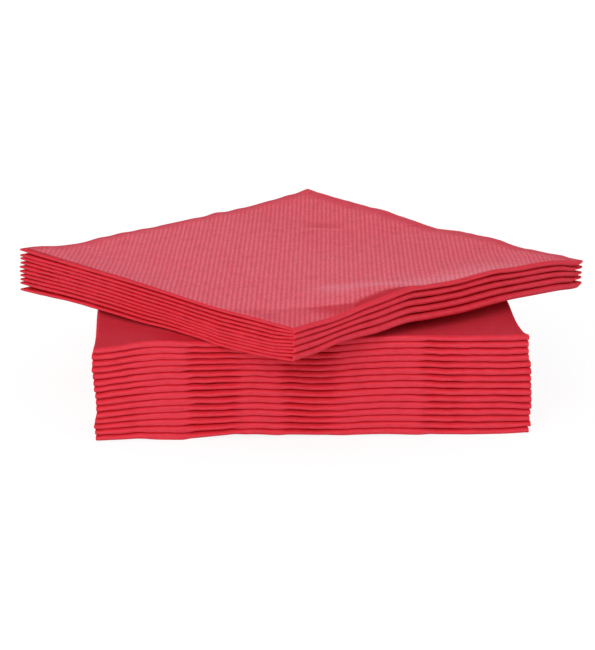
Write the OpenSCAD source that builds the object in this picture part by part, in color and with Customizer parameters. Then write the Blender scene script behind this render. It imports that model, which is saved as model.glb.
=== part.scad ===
// Stack of paper napkins: a squared pile with a smaller pile lying turned on top of it.
// Each napkin is one square sheet of embossed tissue, folded twice into a quarter.
// The first fold lies inside the second, and both meet in the closed corner of the napkin.

/* [Napkin] */
// Side of the open sheet, which folds into a square of half this side
sheet_side = 400; // [240:10:480]
// Thickness of one leaf of embossed tissue
leaf = 0.45; // [0.3:0.05:0.6]
// Gap between the two leaves that the first fold joins
first_gap = 0.2; // [0.15:0.05:0.5]
// Air between one napkin and the next
napkin_gap = 0.2; // [0.15:0.05:0.4]
// Furthest that a napkin lies out of line in its pile
shift = 0.7; // [0:0.1:1]
// Furthest that a napkin lies turned in its pile, in degrees
skew = 0.2; // [0:0.05:0.3]

/* [Lower pile] */
// Number of napkins
lower_count = 15; // [2:1:30]
// Gap inside the second fold
lower_second_gap = 0.6; // [0.5:0.05:1.2]
// How much wider the first gap is at the open edge
lower_first_opening = 0.1; // [0:0.05:0.4]
// How much wider the second gap is at the open edge, less than 0 where it is pressed
lower_second_opening = -0.05; // [-0.25:0.05:1]
// Height of the waves in the front edge
lower_wave = 2.3; // [0:0.1:4]

/* [Upper pile] */
// Number of napkins
upper_count = 5; // [1:1:20]
// Gap inside the second fold
upper_second_gap = 0.8; // [0.5:0.05:1.5]
// How much wider the first gap is at the open edge
upper_first_opening = 0; // [0:0.05:0.5]
// How much wider the second gap is at the open edge
upper_second_opening = 0.6; // [0:0.1:2]
// How much wider still it is where that edge meets the first fold, and the leaves fan out
upper_fan = 0.6; // [0:0.1:1]
// How much wider the second gap is in the middle of the fold
upper_bulge = 0.5; // [0:0.05:1]
// Height of the waves in the edge of the second fold
upper_wave = 3.9; // [0:0.1:6]
// How much higher the edge of the second fold lies than the middle of the pile
upper_tilt = 3; // [0:0.5:5]
// How far that raised edge reaches across the pile
ridge_reach = 42; // [30:1:60]
// How much higher the open corner lies than the middle of the pile
corner_lift = 3.5; // [0:0.5:5]
// Turn of the upper pile on the lower one, in degrees
upper_turn = 40.5; // [0:0.5:90]
// Air between the two piles where they meet
pile_gap = 0.3; // [0.3:0.05:0.8]

/* [Hidden] */
side = sheet_side / 2;
fold_radius = (leaf + first_gap) / 2;
quarter_arc = PI / 2;
leaf_steps_across = 7;
first_fold_steps = 3;
second_fold_steps = 4;
seat_steps = 40;
corner_reach = 0.3 * side;
lower = 0;
upper = 1;
count = [lower_count, upper_count];
second_gap = [lower_second_gap, upper_second_gap];
first_opening = [lower_first_opening, upper_first_opening];
second_opening = [lower_second_opening, upper_second_opening];
fan = [0, upper_fan];
bulge = [0, upper_bulge];
// Where each pile's leaves bend between the second fold and the open edge, as shares of the way
bends_along = [[1], [0.15, 0.35, 1]];
bends_across = [for (k = [1:leaf_steps_across]) k / leaf_steps_across];
lower_red = [0.89, 0.24, 0.33];
upper_red = [0.86, 0.3, 0.38];

// Each wave of a pile: its place along the second fold, its share of the height and its reach
lower_waves = [[0.2 * side, 1, 0.18 * side], [0.68 * side, 0.75, 0.15 * side]];
upper_waves = [[0.31 * side, 1, 0.2 * side], [0.75 * side, 0.6, 0.18 * side]];

lower_names = [for (i = [1:lower_count]) str("lower_napkin_", i < 10 ? "0" : "", i)];
upper_names = [for (i = [1:upper_count]) str("upper_napkin_", i < 10 ? "0" : "", i)];

// A line across the folded sheet, from one open edge round the fold to the other.
// Each step holds its share of the way from the fold to the edge, and its angle in the fold.
function folded_line(bends, fold_steps) = concat(
    [for (k = [len(bends) - 1:-1:0]) [bends[k], 90]],
    [for (k = [0:fold_steps]) [0, 90 - 180 * k / fold_steps]],
    [for (share = bends) [share, -90]]
);

// The two gaps and the thickness of a napkin at a place on the pile, from its closed corner
function first_gap_at(pile, at) = first_gap + first_opening[pile] * at.x / side;
function second_gap_at(pile, at) =
    second_gap[pile]
    + second_opening[pile] * at.y / side
    + fan[pile] * pow((1 - at.x / side) * at.y / side, 4)
    + bulge[pile] * sin(180 * at.x / side) * (1 - at.y / side);
function thickness(pile, at) = 4 * leaf + 2 * first_gap_at(pile, at) + second_gap_at(pile, at);
function pile_height(pile, at) = count[pile] * (thickness(pile, at) + napkin_gap) - napkin_gap;

// The sum of a pile's waves along its second fold
function wave_at(waves, height, at) =
    let (parts = [for (w = waves) w[1] * exp(-pow((at.x - w[0]) / w[2], 2))])
    height * (parts * [for (p = parts) 1]);

// The waves of the lower pile fade from the second fold to the edge across from it
function lower_lift(at) = wave_at(lower_waves, lower_wave, at) * (1 - at.y / side);

// A place on a pile, turned about the middle of the pile
function turned(at, angle) =
    let (out = at - [side, side] / 2)
    [
        out.x * cos(angle) - out.y * sin(angle) + side / 2,
        out.x * sin(angle) + out.y * cos(angle) + side / 2
    ];

// A place on a pile after the small shift and turn that each napkin has
function placed(pile, index, at) =
    let (chance = rands(-1, 1, 3, 11 + 40 * pile + index))
    turned(at, skew * chance[2]) + shift * [chance[0], chance[1]];

// Underside of the upper pile, before it is set down: a raised edge and a raised corner
function upper_underside(at) =
    (upper_tilt + wave_at(upper_waves, upper_wave, at)) * exp(-pow(at.y / ridge_reach, 2))
    + corner_lift * exp(-pow(norm(at - [side, side]) / corner_reach, 2));

// Top of the lower pile
function lower_top(at) = pile_height(lower, at) + lower_lift(at);

function is_on_pile(at) = min(at) >= 0 && max(at) <= side;

// Height at which the upper pile first meets the lower one
upper_seat = pile_gap + max([
    for (i = [0:seat_steps], j = [0:seat_steps])
        let (at = [i, j] * side / seat_steps, below = turned(at, upper_turn))
        if (is_on_pile(below)) lower_top(below) - upper_underside(at)
]);

// How far the shape of the pile lifts a point
function drape(pile, at, z) =
    pile == lower
        ? lower_lift(at) * z / pile_height(lower, at)
        : upper_seat + upper_underside(at);

// A point of the folded sheet: face is 1 on the outside of the folds and -1 on the inside.
// The first fold bends it in X, and the second one wraps that round in Y.
function napkin_point(pile, index, across, along, face) =
    let (
        at = placed(pile, index, [across[0], along[0]] * side),
        first = first_gap_at(pile, at),
        thick = thickness(pile, at),
        bend = (leaf + first + face * leaf) / 2,
        wrap = thick / 2 - leaf - first / 2 + bend * sin(across[1]),
        nose = thickness(pile, [at.x, 0]) / 2,
        middle_wrap = nose - leaf - first / 2 + fold_radius * sin(across[1]),
        x = fold_radius + leaf / 2 + across[0] * (side - quarter_arc * fold_radius)
            - bend * cos(across[1]),
        y = nose + along[0] * (side - quarter_arc * middle_wrap) - wrap * cos(along[1]),
        z = index * (thick + napkin_gap) + thick / 2 + wrap * sin(along[1]),
        spot = placed(pile, index, [x, y])
    )
    [spot.x, spot.y, z + drape(pile, spot, z)];

// One folded napkin: two faces of the sheet, closed along its four edges
module folded_napkin(pile, index) {
    across = folded_line(bends_across, first_fold_steps);
    along = folded_line(bends_along[pile], second_fold_steps);
    last_across = len(across) - 1;
    last_along = len(along) - 1;
    face_size = len(across) * len(along);
    points = [
        for (face = [1, -1], a = across, b = along) napkin_point(pile, index, a, b, face)
    ];
    function spot(a, b, face) = face * face_size + a * len(along) + b;
    function cell(a, b, face) = [
        spot(a - 1, b - 1, face), spot(a, b - 1, face), spot(a, b, face), spot(a - 1, b, face)
    ];
    function backwards(corners) = [corners[0], corners[3], corners[2], corners[1]];
    function halves(corners, first) =
        let (c = [for (k = [0:3]) corners[(k + first) % 4]])
        [[c[2], c[1], c[0]], [c[3], c[2], c[0]]];
    // Every leaf is halved along the same diagonal, so that the leaves lie flat on each other
    function first_corner(a, b) = (2 * a > len(across)) == (2 * b > len(along)) ? 0 : 1;
    faces = [
        for (a = [1:last_across], b = [1:last_along])
            each concat(
                halves(cell(a, b, 0), first_corner(a, b)),
                halves(backwards(cell(a, b, 1)), first_corner(a, b))
            )
    ];
    borders = concat(
        [for (a = [1:last_across]) [spot(a - 1, 0, 0), spot(a, 0, 0)]],
        [for (a = [1:last_across]) [spot(a, last_along, 0), spot(a - 1, last_along, 0)]],
        [for (b = [1:last_along]) [spot(0, b, 0), spot(0, b - 1, 0)]],
        [for (b = [1:last_along]) [spot(last_across, b - 1, 0), spot(last_across, b, 0)]]
    );
    cut_edges = [
        for (p = borders)
            each halves([p[0], p[0] + face_size, p[1] + face_size, p[1]], 0)
    ];
    polyhedron(points, concat(faces, cut_edges));
}

module lower_napkin(index) {
    color(lower_red) translate([-side / 2, -side / 2, 0]) folded_napkin(lower, index);
}

module upper_napkin(index) {
    color(upper_red)
        rotate([0, 0, upper_turn])
            translate([-side / 2, -side / 2, 0])
                folded_napkin(upper, index);
}

for (i = [0:lower_count - 1]) {
    lower_napkin(i);
}
for (i = [0:upper_count - 1]) {
    upper_napkin(i);
}
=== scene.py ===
from math import cos, pi, radians, sin

import bpy
import numpy as np
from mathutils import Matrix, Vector


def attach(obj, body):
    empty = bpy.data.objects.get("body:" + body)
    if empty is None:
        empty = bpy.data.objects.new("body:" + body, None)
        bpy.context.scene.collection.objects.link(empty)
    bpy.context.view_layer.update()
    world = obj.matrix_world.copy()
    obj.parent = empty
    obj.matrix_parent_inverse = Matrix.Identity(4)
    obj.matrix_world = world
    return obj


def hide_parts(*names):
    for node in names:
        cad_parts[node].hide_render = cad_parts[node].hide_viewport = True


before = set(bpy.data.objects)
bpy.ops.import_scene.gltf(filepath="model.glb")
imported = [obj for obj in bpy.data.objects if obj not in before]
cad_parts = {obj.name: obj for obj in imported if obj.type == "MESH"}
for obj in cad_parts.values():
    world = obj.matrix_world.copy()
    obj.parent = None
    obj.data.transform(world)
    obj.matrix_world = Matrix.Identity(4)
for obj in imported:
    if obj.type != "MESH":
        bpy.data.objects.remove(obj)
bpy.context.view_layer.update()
mm = 0.001
print("frame loaded,", len(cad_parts), "napkins")

# camera: the photograph looks down on the stack by 15 degrees, with a long lens
photoView = {
    "place": (-0.0705, -1.1873, 0.3461),
    "aim": (-0.0012, 0.0, 0.02814),
    "lens": 134.97,
    "sensor": 36,
    "farthest": 20,
}


def turnTowards(place, aim):
    # the turn that points a camera or a lamp at what it aims for
    return (Vector(aim) - Vector(place)).to_track_quat("-Z", "Y").to_euler()


def addCamera(view):
    bpy.ops.object.camera_add(location=view["place"], rotation=turnTowards(view["place"], view["aim"]))
    camera = bpy.context.object
    camera.name = "photoCamera"
    camera.data.lens = view["lens"]
    camera.data.sensor_width = view["sensor"]
    camera.data.clip_end = view["farthest"]
    bpy.context.scene.camera = camera


addCamera(photoView)
print("camera set")


# a smooth curve through points, each a place and a height
def smoothLine(points, at):
    places, heights = np.array(points, float).T
    slopes = np.gradient(heights, places)
    k = np.clip(np.searchsorted(places, at) - 1, 0, len(places) - 2)
    wide = places[k + 1] - places[k]
    t = np.clip((at - places[k]) / wide, 0, 1)
    return (
        heights[k] * (1 + 2 * t) * (1 - t) ** 2
        + slopes[k] * wide * t * (1 - t) ** 2
        + heights[k + 1] * t * t * (3 - 2 * t)
        + slopes[k + 1] * wide * t * t * (t - 1)
    )


# the waves of an uneven line: their lengths as shares of its reach, and how many slow and fine lines have
unevenness = {
    "lengths": (0.45, 1.6),
    "slow": 4,
    "fine": 6,
}


# uneven ups and downs along a line, the same at every run
def unevenLine(seed, at, reach, kind="slow"):
    chance = np.random.default_rng(seed)
    total = np.zeros_like(at)
    count = unevenness[kind]
    for k in range(count):
        length = reach * chance.uniform(*unevenness["lengths"])
        total += chance.uniform(-1, 1) * np.sin(2 * pi * at / length + chance.uniform(0, 2 * pi))
    return total / count ** 0.5


def fading(distance, reach):
    return np.exp(-((np.maximum(distance, 0) / reach) ** 2))


def rising(at, start, end):
    t = np.clip((at - start) / (end - start), 0, 1)
    return t * t * (3 - 2 * t)


# one napkin: a square sheet folded twice, in millimetres
napkin = {
    "side": 200,
    "leaf": 0.45,
    "firstFoldSteps": 6,
    # the gap inside the first fold, and how far in from its edge it stands wider
    "firstGap": 0.2,
    "bulgeReach": 7,
    "bulgeLevel": 0.85,
    "bulgeSeed": 850,
    "bulgeWaves": 22,
    # that bulge grows away from the second fold, between two places, and is less at the closed corner
    "farBulge": 0.5,
    "farBulgeFrom": (90, 170),
    "cornerPinch": 0.4,
    "pinchReach": 6,
    # the gap where the first fold is pressed shut, and how far from a cut end and from a tip that starts
    "shutGap": 0.05,
    "shutFrom": 6,
    "tipShutFrom": 12,
    "tipReach": 12,
    # how far the second fold stands out in front where it is flat, and how much further where it is round
    "noseReach": 1.4,
    "noseAtBands": 1.1,
    # how blunt the second fold is where it is flat, how much rounder elsewhere, and how unevenly
    "bluntness": [0.42, 0.9],
    "bluntSeed": 300,
    "bluntWaves": 60,
    "bluntUneven": 0.06,
    # the air between the folds along the front, and how much more there is where they are round
    "airBetween": 0.1,
    "airAtBands": 0.5,
    "airLevel": 0.8,
    "airUneven": 0.5,
    "airWaves": 28,
    "airFlutter": 0.09,
    "airLeast": 0.05,
    # away from the second fold the air is shared evenly, from this far behind it
    "sharedFrom": 12,
    "sharedLeast": 0.1,
    # the borders between round and flat run a little unevenly from napkin to napkin
    "bandSeed": 500,
    "bandWaves": 60,
    "bandUneven": 1.5,
    # how near the open end the lower leaves get shorter, and how far behind the second fold
    "slantPower": 12,
    "slantReach": 60,
    # where the top napkin's right end starts to lie in, behind its fold, and how far back it does
    "tuckFrom": (1.5, 4),
    "tuckReach": 40,
    # the slow waves between napkins: their length, and how far they lean back across the pile
    "levelWaves": 90,
    "levelLean": 0.3,
    # the strip that each fold takes up to each side of its line on the open sheet, and the map's scale
    "foldStrip": 1,
    "mapScale": 0.995,
    "smoothUpTo": 50,  # degrees
}

# the lower pile: x runs along its front edge from the left end, y back from it
lowerPile = {
    "count": 15,
    "turn": 0,
    "centre": (0, 0),
    # where each napkin ends at the left and right, from its even place, and the lines of the sides
    "leftEnds": [-1.3, -1.6, -1.9, -1.4, -0.9, -0.7, -1.1, -1.3, -1.6, -2.0, -2.2, -2.4, -2.3, -2.5, -1.7],
    "rightEnds": [2.0, 2.9, 2.4, 2.7, 2.9, 3.0, 2.7, 2.6, 2.6, 2.4, 2.2, 1.4, 1.0, 0.9, 1.1],
    "leftSide": [(0, 0), (24, 1.2), (63, 1.2), (200, 2.2)],
    "rightSide": [(0, 0), (14, -0.9), (32, -1.0), (65, 0.1), (200, 2.6)],
    "tuck": 1.4,  # how far the top napkin's right end lies in, behind its fold
    # how much wider the first fold is along its edge, and how unevenly
    "firstBulge": 0.3,
    "bulgeUneven": 0.1,
    "backTop": 46.0,
    # heights along the front edge at these places: under napkin 1, and over napkins 1, 4, 8, 11, 14 and 15
    "places": [1, 11, 20, 29, 43, 57, 71, 85, 106, 120, 134, 148, 162, 177, 191, 200],
    "frontLines": {
        0: [0, 0.3, 0.7, 0.2, 0, 1.2, 2, 1.3, 0.6, 0.9, 1, 0.4, 0, 0, 0, 0.3],
        1: [2.7, 3.1, 3.7, 3.5, 3.3, 4, 4.8, 4.1, 3.4, 3.8, 4, 3.6, 2.7, 2.7, 2.7, 3.3],
        4: [10.9, 11.9, 12.9, 13.5, 13.7, 13.5, 14.3, 13.6, 12.5, 13.2, 13.7, 13.3, 12.7, 12.6, 12.4, 11.7],
        8: [23.3, 24.6, 25.7, 26.5, 26.7, 26.8, 27.4, 26.7, 25.6, 26.5, 26.9, 26.9, 25.8, 25.6, 25.3, 25.2],
        11: [32.7, 34, 35.3, 36, 35.9, 36, 36.2, 35.5, 34.7, 35.9, 36.4, 36.4, 35.6, 35.5, 35.1, 35.4],
        14: [42.1, 43.2, 44.7, 45.3, 44.7, 44.4, 44.5, 44.2, 44.1, 45.2, 46, 46, 45.4, 45.4, 45.3, 45.5],
        15: [45.1, 46.2, 47.7, 48.3, 47.5, 47, 47.1, 46.9, 46.9, 48.1, 49, 49, 48.4, 48.4, 48.3, 48.5],
    },
    # how far back the waves of the front edge reach, at the top and at the bottom
    "frontReach": 34,
    "liftReach": 25,
    # where the folds stand out round (1) and where they are pressed flat (0), along the front
    "bands": [(0, 0.65), (14, 0.5), (26, 0), (41, 0), (45, 0.95), (63, 0.95), (68, 0.1), (84, 0.15),
              (89, 1), (106, 0.9), (114, 0.15), (149, 0.05), (154, 0.8), (166, 0.75), (172, 0.35),
              (200, 0.5)],
    "airSeed": 395,
    # unevenness between the napkins: slow waves all over, and kinks along the front edge
    "uneven": 0.1,
    "levelSeed": 965,
    "kinks": 0.16,
    "kinkSeed": 1965,
    "kinkWaves": 13,
    "kinkReach": 25,
    # how far each napkin may lie out of line, and turned, in its pile
    "shift": (0, 0.35),
    "skew": 0.1,
    "placeSeed": 631,
    "slants": [0] * 15,
    "secondFoldSteps": 12,
    "steps": [120, 12],  # how finely a leaf is divided, across and back from the second fold
    "crowding": [1.0, 1.7],  # how much closer those lines lie towards the folds
}

# the upper pile: u runs along its second fold from the near corner, v along its first fold
upperPile = {
    "count": 5,
    "turn": 40.5,
    "centre": (0.3, -3.6),
    "leftEnds": [0] * 5,
    "rightEnds": [0] * 5,
    "leftSide": [(0, 0), (200, 0)],
    "rightSide": [(0, 0), (200, 0)],
    "tuck": 0,
    "firstBulge": 0.42,
    "bulgeUneven": 0.45,
    # heights of the second fold, over and under the pile, and of the ground that its raised edge stands on
    "foldTop": [(0, 65.0), (13, 65.6), (25, 65.9), (35, 67.0), (45, 68.4), (54, 69.3), (62, 70.2),
                (70, 71.1), (76, 71.5), (84, 70.9), (95, 70.2), (109, 69.6), (122, 69.9), (137, 69.7),
                (145, 68.9), (152, 68.4), (167, 67.7), (182, 66.4), (193, 64.3), (200, 63.2)],
    "foldBottom": [(0, 49.6), (16, 50.6), (25, 52.0), (35, 52.7), (54, 52.6), (68, 53.5), (76, 53.5),
                   (84, 52.8), (95, 52.1), (109, 51.5), (152, 51.6), (167, 50.9), (182, 50.2), (193, 49.3),
                   (200, 49.1)],
    "foldBase": [(0, 65.8), (100, 65.8), (200, 63.4)],
    "foldBaseBottom": [(0, 49.6), (35, 48.2), (100, 47.4), (200, 48.6)],
    "foldReach": 42,  # how far that raised edge reaches across the pile
    # heights of the other three edges
    "leftTop": [(0, 65.8), (12, 65.9), (29, 65.8), (46, 65.4), (63, 65.6), (81, 66.2), (99, 66.8),
                (117, 67.2), (136, 67.4), (167, 67.8), (186, 68.1), (200, 68.6)],
    "leftBottom": [(0, 49.6), (12, 48.4), (29, 47.4), (46, 46.9), (99, 47.0), (136, 47.3), (160, 47.5),
                   (179, 47.0), (200, 46.2)],
    "backTop": [(0, 68.6), (10, 66.7), (25, 65.1), (35, 65.2), (51, 65.9), (62, 66.3), (80, 66.1),
                (100, 66.3), (121, 66.6), (130, 66.9), (142, 66.8), (157, 66.9), (172, 67.9), (183, 68.6),
                (192, 69.1), (200, 70.5)],
    "rightTop": [(0, 63.4), (8, 62.9), (14, 63.7), (27, 63.5), (41, 63.1), (54, 64.5), (82, 64.8),
                 (104, 63.7), (118, 65.2), (130, 66.3), (141, 67.4), (150, 67.4), (164, 68.0), (179, 68.7),
                 (190, 69.5), (200, 70.5)],
    "backBottom": [(0, 46.6), (100, 47.2), (200, 51.5)],
    "rightBottom": [(0, 48.6), (60, 47.6), (130, 48.6), (200, 51.5)],
    # how the height is shared between the napkins: on the second fold, then near and far along the first
    "shares": [
        [0, 0.248, 0.455, 0.652, 0.828, 1],
        [0, 0.185, 0.36, 0.545, 0.765, 1],
        [0, 0.24, 0.43, 0.62, 0.8, 1],
    ],
    "sharePlaces": [0, 14, 65, 130],
    # small waves in the two open edges, right and back: height, seeds, lengths and how far in they reach
    "edgeWaves": 0.3,
    "edgeSeeds": (7, 8),
    "edgeLengths": (22, 20),
    "edgeReach": 14,
    # how far the top leaf bends down to the second fold, how far back, and where that starts and ends
    "edgeDrop": 0.5,
    "dropReach": 6,
    "dropStart": (50, 90),
    "dropEnd": (120, 165),
    # the air between the piles, how far past the lower one it is kept, and how softly that sets in
    "restAir": 0.25,
    "restPast": 4,
    "restBlend": 3,
    "restSoftness": 0.05,
    # the height of each half of each napkin at the left corner, and how far from it the leaves fan out
    "leftTips": [46.9, 50.3, 52.2, 54.3, 56.4, 58.6, 60.7, 62.9, 64.6, 67.5],
    "fanPower": 8,
    "fanReach": 22,
    # the height of each napkin's tip at the right corner, what is below and above it, and where it starts
    "rightTips": [51.4, 54.2, 56.7, 59.5, 62.4],
    "tipBelow": 1.0,
    "tipAbove": 0.45,
    "closing": [6, 15, 9, 15, 9],
    "slants": [5, 13, 6, 12, 6],  # how much shorter the lowest leaf is there than the highest
    "bands": [(0, 0.3), (30, 0.5), (60, 0.4), (80, 0.7), (130, 0.8), (165, 0.5), (200, 0.4)],
    "airSeed": 225,
    "uneven": 0.1,
    "levelSeed": 655,
    "shift": (0.35, 0.35),
    "skew": 0.1,
    "placeSeed": 231,
    "secondFoldSteps": 14,
    "steps": [80, 48],
    "crowding": [1.0, 1.0],
}


def slowWaves(pile, k, x, y):
    # slow waves all over a pile, which differ from napkin to napkin
    leaning = x + napkin["levelLean"] * y
    return unevenLine(pile["levelSeed"] + k, leaning, napkin["levelWaves"]) * pile["uneven"]


def lowerLevel(k, x, y):
    # height between the napkins of the lower pile: level 0 is the floor, and each napkin adds one
    pile = lowerPile
    known = sorted(pile["frontLines"])
    above = next(n for n in known if n >= k)
    below = max(n for n in known if n <= k)
    lines = [smoothLine(list(zip(pile["places"], pile["frontLines"][n])), x) for n in (below, above)]
    front = lines[0] + (lines[1] - lines[0]) * (k - below) / max(above - below, 1)
    share = k / pile["count"]
    even = pile["backTop"] * share
    reach = pile["liftReach"] + (pile["frontReach"] - pile["liftReach"]) * share
    height = even + (front - even) * fading(y, reach)
    if 0 < k < pile["count"]:
        height = height + slowWaves(pile, k, x, y)
        kinks = unevenLine(pile["kinkSeed"] + k, x, pile["kinkWaves"], "fine") * pile["kinks"]
        height = height + kinks * fading(y, pile["kinkReach"])
    return height


# heights over a square from the curves along its four edges
def stretchedOver(near, left, back, right, u, v, side):
    s, t = np.clip(u / side, 0, 1), np.clip(v / side, 0, 1)
    corners = (
        (1 - s) * (1 - t) * near[0][1] + s * (1 - t) * near[-1][1]
        + (1 - s) * t * back[0][1] + s * t * back[-1][1]
    )
    return (
        (1 - t) * smoothLine(near, u) + t * smoothLine(back, u)
        + (1 - s) * smoothLine(left, v) + s * smoothLine(right, v) - corners
    )


def turnedAbout(x, y, degrees, centre):
    a = radians(degrees)
    return (
        (x - centre) * np.cos(a) - (y - centre) * np.sin(a) + centre,
        (x - centre) * np.sin(a) + (y - centre) * np.cos(a) + centre,
    )


def toWorld(pile, x, y):
    # from the pile's own closed corner to the frame, in millimetres
    half = napkin["side"] / 2
    wx, wy = turnedAbout(x, y, pile["turn"], half)
    return wx - half + pile["centre"][0], wy - half + pile["centre"][1]


def upperTop(u, v):
    # the pile's upper side: its four edges, the raised second fold, and small waves in the open edges
    pile, side = upperPile, napkin["side"]
    top = stretchedOver(pile["foldBase"], pile["leftTop"], pile["backTop"], pile["rightTop"], u, v, side)
    raised = smoothLine(pile["foldTop"], u) - smoothLine(pile["foldBase"], u)
    top = top + raised * fading(v, pile["foldReach"])
    edges = zip((v, u), pile["edgeSeeds"], pile["edgeLengths"], (side - u, side - v))
    return top + sum(
        unevenLine(seed, along, length, "fine") * pile["edgeWaves"] * fading(inward, pile["edgeReach"])
        for along, seed, length, inward in edges
    )


def upperBottom(u, v):
    # the pile's underside, which lies on the lower pile wherever they meet
    pile, side = upperPile, napkin["side"]
    edges = pile["foldBaseBottom"], pile["leftBottom"], pile["backBottom"], pile["rightBottom"]
    bottom = stretchedOver(*edges, u, v, side)
    raised = smoothLine(pile["foldBottom"], u) - smoothLine(pile["foldBaseBottom"], u)
    bottom = bottom + raised * fading(v, pile["foldReach"])
    wx, wy = toWorld(pile, u, v)
    half = side / 2
    inside = half + pile["restPast"] - np.maximum(abs(wx), abs(wy))
    over = np.clip(inside, 0, pile["restBlend"]) / pile["restBlend"]
    below = lowerLevel(lowerPile["count"], np.clip(wx + half, 0, side), np.clip(wy + half, 0, side))
    ground = below + pile["restAir"]
    near = bottom - ground
    lifted = ground + 0.5 * (near + np.sqrt(near ** 2 + pile["restSoftness"]))
    return bottom + (lifted - bottom) * over


def upperLevel(k, u, v):
    # height between the napkins of the upper pile: level 0 is its underside, and each napkin adds one
    pile = upperPile
    bottom, top = upperBottom(u, v), upperTop(u, v)
    fold, near, far = (shares[k] for shares in pile["shares"])
    if k == pile["count"]:
        along = rising(u, *pile["dropStart"]) * (1 - rising(u, *pile["dropEnd"]))
        top = top - pile["edgeDrop"] * fading(v, pile["dropReach"]) * along
    height = bottom + (top - bottom) * np.interp(v, pile["sharePlaces"], [fold, near, near, far])
    if 0 < k < pile["count"]:
        height = height + slowWaves(pile, k, u, v)
    return height


def sheetLine(leafSteps, foldSteps, crowding):
    # across the sheet: how far along its leaf each line lies, and its angle in the fold
    reach = np.linspace(1, 0, leafSteps + 1) ** crowding
    angles = np.linspace(pi / 2, -pi / 2, foldSteps + 1)
    reach = np.concatenate([reach[:-1], np.zeros(foldSteps + 1), reach[::-1][1:]])
    angles = np.concatenate([np.full(leafSteps, pi / 2), angles, np.full(leafSteps, -pi / 2)])
    return reach, angles


def bandAt(pile, k, x):
    # how round a napkin's second fold is at a place along the front
    strayed = x + napkin["bandUneven"] * unevenLine(napkin["bandSeed"] + k, x, napkin["bandWaves"])
    return np.interp(strayed, *zip(*pile["bands"]))


def frontAir(pile, k, x):
    # the air under and over each fold along the front
    flutter = unevenLine(pile["airSeed"] + k, x, napkin["airWaves"], "fine")
    band = bandAt(pile, k, x) * (napkin["airLevel"] + napkin["airUneven"] * flutter)
    air = napkin["airBetween"] + napkin["airAtBands"] * band + napkin["airFlutter"] * flutter
    return np.maximum(air, napkin["airLeast"])


def foldGap(pile, index, x, y):
    # the gap inside the first fold: widest along its edge, and pressed shut at the cut ends
    side = napkin["side"]
    far = 1 + napkin["farBulge"] * rising(y, *napkin["farBulgeFrom"])
    pinch = 1 - napkin["cornerPinch"] * fading(y, napkin["pinchReach"])
    waves = unevenLine(napkin["bulgeSeed"] + index, y, napkin["bulgeWaves"], "fine")
    bulge = pile["firstBulge"] * far * pinch * (napkin["bulgeLevel"] + pile["bulgeUneven"] * waves)
    gap = napkin["firstGap"] + bulge * fading(x, napkin["bulgeReach"])
    atTip = rising(x, side - napkin["tipShutFrom"], side) * fading(y, napkin["tipReach"])
    shut = np.maximum(rising(y, side - napkin["shutFrom"], side), atTip)
    return gap + (napkin["shutGap"] - gap) * shut


def fannedOut(pile, index, gap, low, high, x, y):
    # towards the left corner the leaves fan out, each half of a napkin to its own height
    side, leaf = napkin["side"], napkin["leaf"]
    fan = np.clip(y / side, 0, 1) ** pile["fanPower"] * fading(x, pile["fanReach"])
    pack = leaf + gap
    lowTip, highTip = pile["leftTips"][2 * index:2 * index + 2]
    low = low + (lowTip - pack / 2 - low) * fan
    high = high + (highTip + pack / 2 - high) * fan
    # and towards the right corner the folds close to thin tips
    close = rising(x, side - pile["closing"][index], side) * fading(y, napkin["tipReach"])
    tip = pile["rightTips"][index]
    low = low + (tip - pile["tipBelow"] - low) * close
    high = high + (tip + pile["tipAbove"] - high) * close
    return low, high


def leafHeights(pile, level, index, x, y):
    # the middle of a napkin's lowest and highest leaf at a place on the pile
    leaf = napkin["leaf"]
    gap = foldGap(pile, index, x, y)
    low, high = level(index, x, y), level(index + 1, x, y)
    # away from the second fold, the air above, below and inside the napkin is shared evenly
    free = high - low - 4 * leaf - 2 * gap
    even = np.maximum(free / 2, napkin["sharedLeast"])
    shared = np.clip(y / napkin["sharedFrom"], 0, 1) ** 0.5
    airs = [frontAir(pile, k, x) for k in (index, index + 1)]
    under, over = (air + (even - air) * shared for air in airs)
    low, high = low + (under + leaf) / 2, high - (over + leaf) / 2
    if pile is upperPile:
        low, high = fannedOut(pile, index, gap, low, high, x, y)
    return low, high


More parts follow.
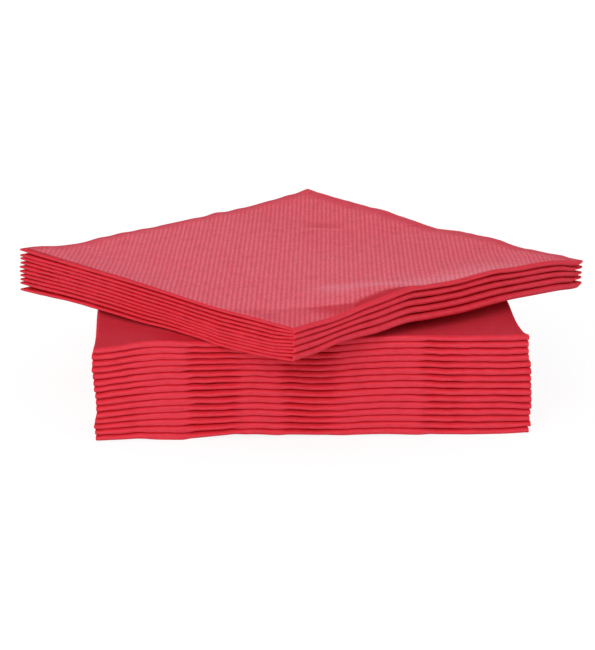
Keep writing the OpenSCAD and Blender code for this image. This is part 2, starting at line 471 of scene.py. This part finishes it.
def foldedPlaces(pile, level, index, rows, columns):
    # where each crossing of the open sheet's lines lies once it is folded
    side, leaf = napkin["side"], napkin["leaf"]
    reachX, bendX = (line[:, None] for line in rows)
    reachY, bendY = (line[None, :] for line in columns)
    chance = np.random.default_rng(pile["placeSeed"] + index)
    shiftX, shiftY = chance.uniform(-1, 1, 2) * pile["shift"]
    skew = chance.uniform(-1, 1) * pile["skew"]
    # the first fold, in x
    radius = (leaf + foldGap(pile, index, reachX * side, reachY * side)) / 2
    depth = radius * (1 - np.sin(bendX))  # from the outer leaf down to the inner one
    x = radius + leaf / 2 + reachX * (side - radius * pi / 2) - radius * np.cos(bendX)
    # the second fold, in y, which wraps both leaves of the first
    band = bandAt(pile, index, x)
    flat, rounder = napkin["bluntness"]
    waves = unevenLine(napkin["bluntSeed"] + index, x, napkin["bluntWaves"])
    blunt = flat + rounder * band + waves * napkin["bluntUneven"]
    nose = napkin["noseReach"] + napkin["noseAtBands"] * band
    forward = np.maximum(np.cos(bendY), 0) ** blunt
    upward = abs(np.sin(bendY)) ** blunt * np.sign(bendY)
    slant = pile["slants"][index] * (1 - upward) / 2 * (x / side) ** napkin["slantPower"]
    x = x - slant * fading(reachY * side, napkin["slantReach"])
    y = nose + leaf / 2 + reachY * (side - pi / 2 * nose) - (nose - depth) * forward
    # the napkin's own ends, shift and turn in the pile
    left = pile["leftEnds"][index] + smoothLine(pile["leftSide"], y)
    right = pile["rightEnds"][index] + smoothLine(pile["rightSide"], y)
    if index == pile["count"] - 1:
        tuck = pile["tuck"] * rising(y, *napkin["tuckFrom"])
        right = right - tuck * fading(y, napkin["tuckReach"]) * (bendY > 0)
    x = x + left + (right - left) * x / side
    x, y = turnedAbout(x, y, skew, side / 2)
    x, y = x + shiftX, y + shiftY
    low, high = leafHeights(pile, level, index, x, y)
    middle, half = (low + high) / 2, (high - low) / 2
    z = middle + (half - depth) * upward
    wx, wy = toWorld(pile, x, y)
    return np.stack([wx, wy, z], axis=-1) * mm


def openSheet(reach, angle):
    # a line's place on the open sheet, as a share of its side
    side = napkin["side"]
    signed = np.where(angle > 0, 1, -1) * reach * side + angle / (pi / 2) * napkin["foldStrip"]
    return 0.5 + signed / (2 * side) * napkin["mapScale"]


def foldSheet(sheet, pile, level, index, rows, columns):
    # the grid's vertices and its UV map, which is the open sheet from its corner
    mesh = sheet.data
    flat = np.zeros(len(mesh.vertices) * 3)
    mesh.vertices.foreach_get("co", flat)
    flat = flat.reshape(-1, 3)
    i = np.rint((flat[:, 0] + 1) / 2 * (len(rows[0]) - 1)).astype(int)
    j = np.rint((flat[:, 1] + 1) / 2 * (len(columns[0]) - 1)).astype(int)
    places = foldedPlaces(pile, level, index, rows, columns)
    mesh.vertices.foreach_set("co", places[i, j].astype(np.float32).ravel())
    corner = np.zeros(len(mesh.loops), int)
    mesh.loops.foreach_get("vertex_index", corner)
    uv = np.stack([openSheet(*rows)[i[corner]], openSheet(*columns)[j[corner]]], axis=-1)
    mesh.uv_layers.active.data.foreach_set("uv", uv.astype(np.float32).ravel())
    mesh.update()


def thicken(sheet):
    bpy.ops.object.modifier_add(type="SOLIDIFY")
    solid = sheet.modifiers[-1]
    solid.thickness = napkin["leaf"] * mm
    solid.offset = 0
    solid.use_even_offset = True
    bpy.ops.object.modifier_apply(modifier=solid.name)
    bpy.ops.object.mode_set(mode="EDIT")
    bpy.ops.mesh.select_all(action="SELECT")
    bpy.ops.mesh.normals_make_consistent(inside=False)
    bpy.ops.object.mode_set(mode="OBJECT")
    bpy.ops.object.shade_smooth_by_angle(angle=radians(napkin["smoothUpTo"]))


def foldNapkin(name, node, pile, level, index):
    # an open sheet from a grid, its lines moved to where the folds put them, then given its thickness
    rows = sheetLine(pile["steps"][0], napkin["firstFoldSteps"], pile["crowding"][0])
    columns = sheetLine(pile["steps"][1], pile["secondFoldSteps"], pile["crowding"][1])
    nx, ny = len(rows[0]) - 1, len(columns[0]) - 1
    bpy.ops.object.select_all(action="DESELECT")
    bpy.ops.mesh.primitive_grid_add(x_subdivisions=nx, y_subdivisions=ny, size=2, calc_uvs=True)
    sheet = bpy.context.object
    sheet.name = sheet.data.name = name
    foldSheet(sheet, pile, level, index, rows, columns)
    thicken(sheet)
    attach(sheet, "root")
    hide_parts(node)
    return sheet


def makePile(pile, level, kind):
    made = []
    for index in range(pile["count"]):
        number = f"{index + 1:02d}"
        name, node = f"{kind}Sheet{number}", f"{kind}_napkin_{number}"
        made.append(foldNapkin(name, node, pile, level, index))
    print(kind, "pile folded")
    return made


lowerSheets = makePile(lowerPile, lowerLevel, "lower")
upperSheets = makePile(upperPile, upperLevel, "upper")


# shader maths: a socket that takes part in ordinary expressions
class Value:
    def __init__(self, tree, socket):
        self.tree, self.socket = tree, socket

    def output(self, key):
        # another output of the same node
        return Value(self.tree, self.socket.node.outputs[key])

    def maths(self, kind, *values):
        return addNode(self.tree, "ShaderNodeMath", {"operation": kind}, dict(enumerate(values)))

    def __add__(self, other):
        return self.maths("ADD", self, other)

    def __sub__(self, other):
        return self.maths("SUBTRACT", self, other)

    def __rsub__(self, other):
        return self.maths("SUBTRACT", other, self)

    def __mul__(self, other):
        return self.maths("MULTIPLY", self, other)

    def __abs__(self):
        return self.maths("ABSOLUTE", self)

    __radd__, __rmul__ = __add__, __mul__

    def atLeast(self, other):
        return self.maths("MAXIMUM", self, other)

    def atMost(self, other):
        return self.maths("MINIMUM", self, other)

    def cosine(self):
        return self.maths("COSINE", self)

    def ramp(self, low, high):
        # 0 below low and 1 above high, smooth between them
        inputs = {"Value": self, "From Min": low, "From Max": high}
        return addNode(self.tree, "ShaderNodeMapRange", {"interpolation_type": "SMOOTHSTEP"}, inputs)

    def past(self, start, full):
        # the same, between two places in millimetres
        return self.ramp(start * mm, full * mm)

    def within(self, start, full, end, gone):
        # 1 between full and end, and 0 before start and after gone, all in millimetres
        return self.past(start, full) * (1 - self.past(end, gone))


def addNode(tree, kind, settings, inputs):
    # a new node from its kind, settings and what goes into it, as the value of its first output
    node = tree.nodes.new(kind)
    for key, value in settings.items():
        setattr(node, key, value)
    for key, value in inputs.items():
        if isinstance(value, Value):
            tree.links.new(value.socket, node.inputs[key])
        else:
            node.inputs[key].default_value = value
    return Value(tree, node.outputs[0])


def endTree(tree, kind, shader):
    tree.links.new(shader.socket, tree.nodes.new(kind).inputs[0])


def mixColours(tree, share, first, second):
    return addNode(tree, "ShaderNodeMix", {"data_type": "RGBA"}, {0: share, 6: first, 7: second}).output(2)


def noise(tree, where, scale, detail, roughness=0.6):
    inputs = {"Vector": where, "Scale": scale, "Detail": detail, "Roughness": roughness}
    return addNode(tree, "ShaderNodeTexNoise", {}, inputs)


def newTree(block):
    block.use_nodes = True
    block.node_tree.nodes.clear()
    return block.node_tree


# red embossed tissue: fine ribs run from corner to corner of each leaf, and stop short of the folds
# lengths are in millimetres
tissue = {
    "deep": (0.60, 0.016, 0.034, 1),
    "shade": (0.76, 0.007, 0.017, 1),  # between two leaves, behind a fold
    "foldSideHighlight": (0.82, 0.036, 0.061, 1),  # painted highlight, softer, on the sides of the folds
    "foldFrontHighlight": (0.84, 0.057, 0.088, 1),  # painted highlight along their front
    "valley": (0.870, 0.078, 0.118, 1),  # between the ribs: paler than the plain tissue, partly from the embossing and partly as painted sheen
    # on the ribs, paler still as a painted highlight
    "ridge": (1.00, 0.190, 0.248, 1),
    # painted sheen, also used as the painted highlight along the crease
    "paintedSheen": (1.00, 0.260, 0.320, 1),
    # how strongly the ribs and their painted sheen show on the napkins of each pile, and 1 where nothing
    # lies on the napkin
    "ribShare": {"lower": 0.09, "lowerTop": 0.09, "upper": 1, "upperTop": 1},
    "open": {"lower": 0, "lowerTop": 1, "upper": 0, "upperTop": 1},
    # the ribs: their turn in degrees, pitch, wander, and the dashes that they come and go in
    "ribTurn": 45.85,
    "ribPitch": 2.3,
    "ribWander": 0.3,
    "wanderScale": 70,
    "dashLength": 3.2,
    "dashScale": 1.6,
    "dashes": (0.25, 0.7),
    "dashDepth": 0.7,
    "dashLeast": 0.5,
    "ribMiddle": 0.4,
    "ribHeight": 0.11,
    # they are flatter towards the left and right corners, and fade towards the cut edges
    "aside": (50, 140),
    "asideLoss": 0.25,
    "cutEdge": (1, 10),
    "cutEdgeBias": 1.01,
    "cutEdgeLeast": 0.55,
    # plain margins along the folds, and how much wider they are between two leaves
    "leafBorder": 0.2,
    "margin": 0.6,
    "marginBetween": 5,
    "marginSoft": 1.6,
    # along the first fold the margin grows away from the second one
    "farAlong": (60, 170),
    "farMargin": 2.5,
    # and it is wide and soft on the second fold where that climbs from the closed corner
    "climb": (38, 52, 64, 80),
    "climbMargin": 4.5,
    "climbSoftPlace": (38, 50, 66, 84),
    "climbSoft": 5,
    "secondSoft": 1,
    # the ribs are pressed flatter at the closed corner, and more so beside the second fold
    "pressed": (34, 38),
    "pressedShare": 0.27,
    "pressedBeside": (22, 34),
    "pressedMore": 0.5,
    # and show less far from the first fold
    "farSide": (100, 150),
    "farSideLoss": 0.1,
    # a band behind the second fold that is paler as painted sheen: its line, its turn, its width and where
    # it is
    "sheenLine": 3.5,
    "sheenTurn": (60, 88),
    "sheenBack": 33,
    "sheenWide": 20,
    "sheenPlace": (46, 64, 140, 180),
    "sheenShare": 0.4,
    # a short crease near the open corner, drawn in colour only: a painted highlight along its line and
    # painted shade behind
    "creaseAt": 203.6,
    "creaseWide": (0.3, 1.8),
    "creasePlace": (0, 7, 17, 27),
    "creaseBehind": (203.5, 206.5, 210, 226),
    "creaseHighlight": 0.5,
    "creaseShade": 0.3,
    # how far the folds' painted highlights and painted shade reach from their lines
    "sideHighlightWide": (0.5, 1.6),
    "frontHighlightWide": (0.15, 0.5),
    "shadeWide": (3, 8),
    # the painted highlight is weaker on the first fold than on the second, which lies outside it
    "firstFoldHighlight": 0.75,
    "highlightPlace": (1, 3),
    # unevenness of the paper: soft blotches, specks and fibres
    "mottleScale": 160,
    "mottle": (0.42, 0.75),
    "mottleShare": 0.2,
    "mottleShade": 0.82,
    "speckleScale": 800,
    "speckle": 1.4,
    "fibreScale": 1900,
    "fibreHeight": 0.035,
    "roughness": 0.8,
    "roughnessUneven": 0.1,
    "gloss": 0.14,
    "glow": 0.5,  # how much light passes through the paper
    "glowReach": (1.0, 0.10, 0.12),
    "glowScale": 0.7,
}


# a napkin's places for its material, all read from the map of the open sheet
class SheetPlaces:
    def __init__(self, tree, look):
        self.uv = addNode(tree, "ShaderNodeUVMap", {}, {})
        half = napkin["side"] * mm
        # x and y run from the two folds across the leaf, in metres
        parts = addNode(tree, "ShaderNodeSeparateXYZ", {}, {0: self.uv})
        self.x, self.y = (parts.output(k) * (2 * half) - half for k in (0, 1))
        turn = radians(look["ribTurn"])
        self.across = self.x * sin(turn) - self.y * cos(turn)
        self.along = self.x * cos(turn) + self.y * sin(turn)
        self.fromFirst, self.fromSecond = abs(self.x), abs(self.y)
        self.fromFold = self.fromFirst.atMost(self.fromSecond)
        toCut = half - (self.fromFirst * look["cutEdgeBias"]).atLeast(self.fromSecond)
        self.inside = toCut.past(*look["cutEdge"])  # 0 at the cut edges


def ribPattern(tree, look, at):
    # ribs that wander a little and come and go in short dashes: 0 in the valleys and 1 on the ridges
    lines = at.across * (1 / (look["ribPitch"] * mm))
    wander = noise(tree, at.uv, look["wanderScale"], 1)
    phase = (lines + wander * look["ribWander"]) * (2 * pi)
    wave = phase.cosine() * 0.5 + 0.5
    dashes = at.along * (1 / (look["dashLength"] * mm))
    ribPlace = addNode(tree, "ShaderNodeCombineXYZ", {}, {0: lines, 1: dashes})
    grain = noise(tree, ribPlace, look["dashScale"], 2)
    strength = grain.ramp(*look["dashes"]) * look["dashDepth"] + look["dashLeast"]
    middle = look["ribMiddle"]
    flatter = 1 - look["asideLoss"] * abs(at.across).past(*look["aside"])
    return (wave * strength - middle) * at.inside * flatter + middle


def embossedShare(look, at, onTop):
    # 1 where the leaf is embossed, and 0 on the plain margins along its folds
    between = (1 - onTop) * (look["marginBetween"] * mm)
    farMargin = at.fromSecond.past(*look["farAlong"]) * (look["farMargin"] * mm)
    climbMargin = at.fromFirst.within(*look["climb"]) * (look["climbMargin"] * mm)
    soft = at.fromFirst.within(*look["climbSoftPlace"]) * (look["climbSoft"] * mm)
    soft = soft + look["secondSoft"] * mm
    atFirst = (at.fromFirst - (farMargin + look["margin"] * mm + between)).past(0, look["marginSoft"])
    atSecond = (at.fromSecond - (climbMargin + look["margin"] * mm + between)).ramp(0, soft)
    beside = at.fromFirst.past(*look["pressedBeside"]) * look["pressedMore"] + look["pressedShare"]
    pressed = (1 - at.along.past(*look["pressed"])) * beside
    return atFirst * atSecond * (1 - pressed)


def foldColour(tree, look, at, onTop):
    # the plain tissue and its folds, with painted shade between two leaves and painted highlights on the
    # folds
    between = (1 - onTop) * (1 - at.fromFold.past(*look["shadeWide"]))
    highlightStrength = at.fromFirst.past(*look["highlightPlace"]) * (1 - look["firstFoldHighlight"]) + look["firstFoldHighlight"]
    colour = mixColours(tree, between, look["deep"], look["shade"])
    colour = mixColours(tree, (1 - at.fromFold.past(*look["sideHighlightWide"])) * highlightStrength, colour, look["foldSideHighlight"])
    return mixColours(tree, (1 - at.fromFold.past(*look["frontHighlightWide"])) * highlightStrength, colour, look["foldFrontHighlight"])


def ribColour(tree, look, at, rib, speckle, inCrease):
    # the embossed tissue, with a band of painted sheen and a painted highlight along the line of its crease
    turned = 1 - at.fromFirst.past(*look["sheenTurn"])
    offLine = abs(at.fromSecond - (turned * (look["sheenBack"] * mm) + look["sheenLine"] * mm))
    paintedSheen = (1 - offLine.past(0, look["sheenWide"])) * at.fromFirst.within(*look["sheenPlace"])
    creaseLine = (1 - abs(at.along - look["creaseAt"] * mm).past(*look["creaseWide"])) * inCrease
    pale = paintedSheen * (look["sheenShare"] + look["sheenShare"] * rib) + creaseLine * look["creaseHighlight"]
    colour = mixColours(tree, rib + (speckle - 0.5) * look["speckle"], look["valley"], look["ridge"])
    return mixColours(tree, pale, colour, look["paintedSheen"])


def tissueMaterial(look, kind):
    material = bpy.data.materials.new(kind + "RedTissue")
    tree = newTree(material)
    at = SheetPlaces(tree, look)
    where = addNode(tree, "ShaderNodeTexCoord", {}, {}).output("Object")
    mottle = noise(tree, where, look["mottleScale"], 4)
    speckle = noise(tree, where, look["speckleScale"], 2)
    fibres = noise(tree, where, look["fibreScale"], 3)

    border, ribShare = look["leafBorder"], look["ribShare"][kind]
    onTop = at.x.past(-border, border) * at.y.past(-border, border) * look["open"][kind]
    rib = ribPattern(tree, look, at)
    embossed = embossedShare(look, at, onTop)
    inCrease = at.across.within(*look["creasePlace"])
    shadeBehindCrease = at.along.within(*look["creaseBehind"]) * inCrease
    # painted shade behind the crease: the ribs' paler colour shows less there
    least = look["cutEdgeLeast"]
    share = embossed * (at.inside * (1 - least) + least)
    share = share * (1 - look["creaseShade"] * shadeBehindCrease) * ribShare
    share = share * (1 - look["farSideLoss"] * at.fromFirst.past(*look["farSide"]))
    folds = foldColour(tree, look, at, onTop)
    ribs = ribColour(tree, look, at, rib, speckle, inCrease)
    colour = mixColours(tree, share, folds, ribs)
    darker = tuple(c * look["mottleShade"] for c in look["deep"][:3]) + (1,)
    colour = mixColours(tree, mottle.ramp(*look["mottle"]) * look["mottleShare"], colour, darker)

    height = rib * embossed * (look["ribHeight"] * mm * ribShare) + fibres * (look["fibreHeight"] * mm)
    shader = addNode(tree, "ShaderNodeBsdfPrincipled", {}, {
        "Base Color": colour,
        "Roughness": look["roughness"] + look["roughnessUneven"] * mottle,
        "Normal": addNode(tree, "ShaderNodeBump", {}, {"Height": height, "Strength": 1.0, "Distance": 1.0}),
        "Specular IOR Level": look["gloss"],
        "Subsurface Weight": look["glow"],
        "Subsurface Radius": look["glowReach"],
        "Subsurface Scale": look["glowScale"] * mm,
    })
    endTree(tree, "ShaderNodeOutputMaterial", shader)
    return material


groups = {
    "lower": lowerSheets[:-1],
    "lowerTop": lowerSheets[-1:],
    "upper": upperSheets[:-1],
    "upperTop": upperSheets[-1:],
}
for kind, sheets in groups.items():
    redTissue = tissueMaterial(tissue, kind)
    for sheet in sheets:
        sheet.data.materials.clear()
        sheet.data.materials.append(redTissue)
print("tissue applied")

# pale floor, white where the camera sees it lit, and soft studio light
studio = {
    "white": (1, 1, 1, 1),
    "floorSize": 6,
    "floorColour": (0.6, 0.6, 0.6, 1),
    "floorSeen": (0.2, 0.2, 0.2, 1),
    "floorGlow": 0.88,
    "sky": 0.57,
    "skySeen": 1.0,
    "keyPlace": (-0.75, -2.33, 0.9),
    "keyAim": (0, 0, 0.03),
    "keySize": 1.5,
    "keyPower": 32,
}


def showAs(tree, light, seen, outputKind):
    # one shader for the light that it gives, and another for what is seen, also in gloss and through glass
    path = addNode(tree, "ShaderNodeLightPath", {}, {})
    camera, gloss, through = (
        path.output(kind) for kind in ("Is Camera Ray", "Is Glossy Ray", "Is Transmission Ray")
    )
    isSeen = camera.atLeast(gloss).atLeast(through)
    endTree(tree, outputKind, addNode(tree, "ShaderNodeMixShader", {}, {0: isSeen, 1: light, 2: seen}))


def addSky(look):
    world = bpy.data.worlds.new("studioLight")
    bpy.context.scene.world = world
    tree = newTree(world)
    light, seen = (
        addNode(tree, "ShaderNodeBackground", {}, {"Color": look["white"], "Strength": strength})
        for strength in (look["sky"], look["skySeen"])
    )
    showAs(tree, light, seen, "ShaderNodeOutputWorld")


def addFloor(look):
    bpy.ops.mesh.primitive_plane_add(size=look["floorSize"], location=(0, 0, 0))
    floor = bpy.context.object
    floor.name = "paleFloor"
    material = bpy.data.materials.new("floorPaper")
    tree = newTree(material)
    plain = addNode(tree, "ShaderNodeBsdfDiffuse", {}, {"Color": look["floorColour"]})
    lit = addNode(tree, "ShaderNodeBsdfDiffuse", {}, {"Color": look["floorSeen"]})
    glow = addNode(tree, "ShaderNodeEmission", {}, {"Strength": look["floorGlow"]})
    white = addNode(tree, "ShaderNodeAddShader", {}, {0: lit, 1: glow})
    showAs(tree, plain, white, "ShaderNodeOutputMaterial")
    floor.data.materials.append(material)


def addKeyLight(look):
    turn = turnTowards(look["keyPlace"], look["keyAim"])
    bpy.ops.object.light_add(type="AREA", location=look["keyPlace"], rotation=turn)
    key = bpy.context.object
    key.name = "keyLight"
    key.data.size = look["keySize"]
    key.data.energy = look["keyPower"]


bpy.context.scene.view_settings.view_transform = "Standard"
addSky(studio)
addFloor(studio)
addKeyLight(studio)
print("studio lit")
